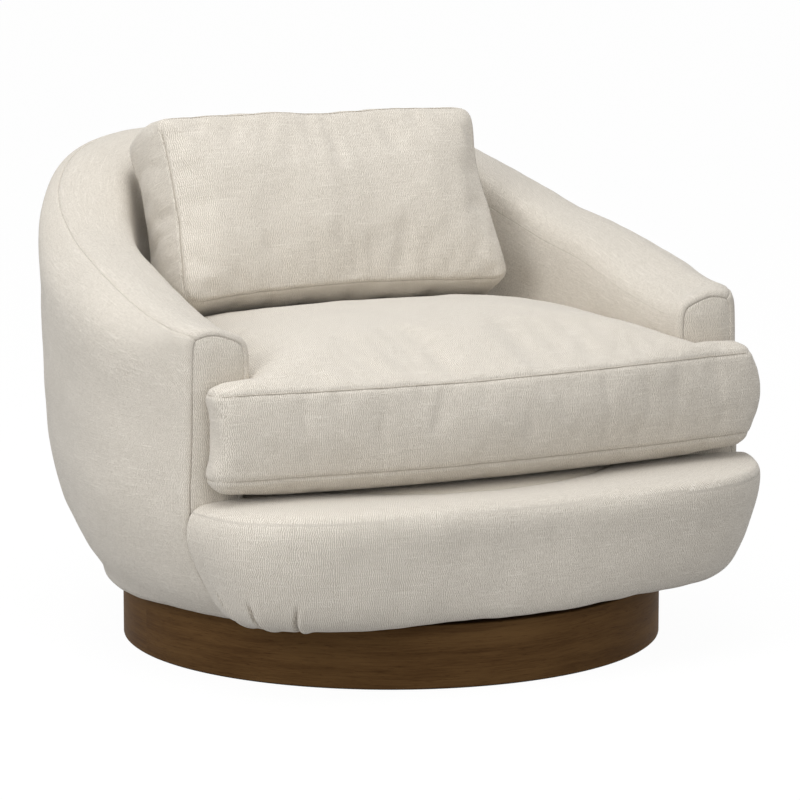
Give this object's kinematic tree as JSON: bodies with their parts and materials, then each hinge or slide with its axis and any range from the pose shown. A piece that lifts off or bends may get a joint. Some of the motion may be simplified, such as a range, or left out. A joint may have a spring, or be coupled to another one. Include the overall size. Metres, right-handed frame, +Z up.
{
  "type": "swivel barrel chair",
  "caption": "Low round upholstered tub chair with a loose seat cushion and a leaning back cushion, turning on a dark wood drum base.",
  "frame": {"origin": "on the floor under the swivel axis, the centre of the drum base", "axes": "+Z up along the swivel axis; the chair faces -Y at rest; +X is the sitter's left, the viewer's right from the front"},
  "size_m": [0.9616, 0.9382, 0.7056],
  "materials": {
    "woven_cloth": "oatmeal woven cloth with slubs, matt",
    "stained_wood": "dark brown stain, satin, faint grain",
    "frame_wood": "bare plywood and sawn hardwood",
    "plate_steel": "black powder coat",
    "zinc_steel": "zinc plated",
    "polished_steel": "polished bearing steel",
    "spring_steel": "oiled spring wire",
    "dark_cloth": "black felt and lining cloth",
    "foam": "cream upholstery foam"
  },
  "bodies": {
    "base": {"plinth_ring": "stained_wood", "floor_felt": "dark_cloth", "plinth_deck": "frame_wood", "plinth_glue_blocks": "frame_wood", "swivel_lower_plate": "plate_steel", "swivel_rivet": "zinc_steel", "lower_plate_bolts": "zinc_steel", "lower_plate_nuts": "zinc_steel"},
    "bearing_cage": {"ball_cage": "zinc_steel", "bearing_balls": "polished_steel"},
    "tub": {"swivel_upper_plate": "plate_steel", "upper_plate_bolts": "zinc_steel", "upper_plate_nuts": "zinc_steel", "base_board": "frame_wood", "front_rail": "frame_wood", "back_rail": "frame_wood", "left_rail": "frame_wood", "right_rail": "frame_wood", "corner_blocks": "frame_wood", "apron_board": "frame_wood", "front_ledge": "frame_wood", "left_arm_post": "frame_wood", "right_arm_post": "frame_wood", "tub_ribs": "frame_wood", "rim_hoop": "frame_wood", "sinuous_springs": "spring_steel", "spring_clips": "zinc_steel", "deck_pad": "dark_cloth", "dust_cloth": "dark_cloth", "outer_cover": "woven_cloth", "rim_band": "woven_cloth", "inner_cover": "woven_cloth", "left_arm_front": "woven_cloth", "right_arm_front": "woven_cloth", "front_apron": "woven_cloth"},
    "seat_cushion": {"seat_cushion_cover": "woven_cloth", "seat_foam_core": "foam"},
    "back_cushion": {"back_cushion_cover": "woven_cloth", "back_foam_core": "foam"}
  },
  "joints": [
    {"name": "swivel", "type": "hinge", "parent": "base", "child": "tub", "pos_m": [0, 0, 0.092], "axis": [0, 0, 1], "continuous": true},
    {"name": "cage_turn", "type": "hinge", "parent": "base", "child": "bearing_cage", "pos_m": [0, 0, 0.092], "axis": [0, 0, 1], "continuous": true},
    {"name": "seat_cushion_lift", "type": "slide", "parent": "tub", "child": "seat_cushion", "axis": [0, 0, 1], "range_m": [0, 0.4]},
    {"name": "back_cushion_lift", "type": "slide", "parent": "seat_cushion", "child": "back_cushion", "axis": [0, 0, 1], "range_m": [0, 0.3]}
  ],
  "couplings": [
    {"joint": "cage_turn", "follows": "swivel", "ratio": 0.5}
  ]
}
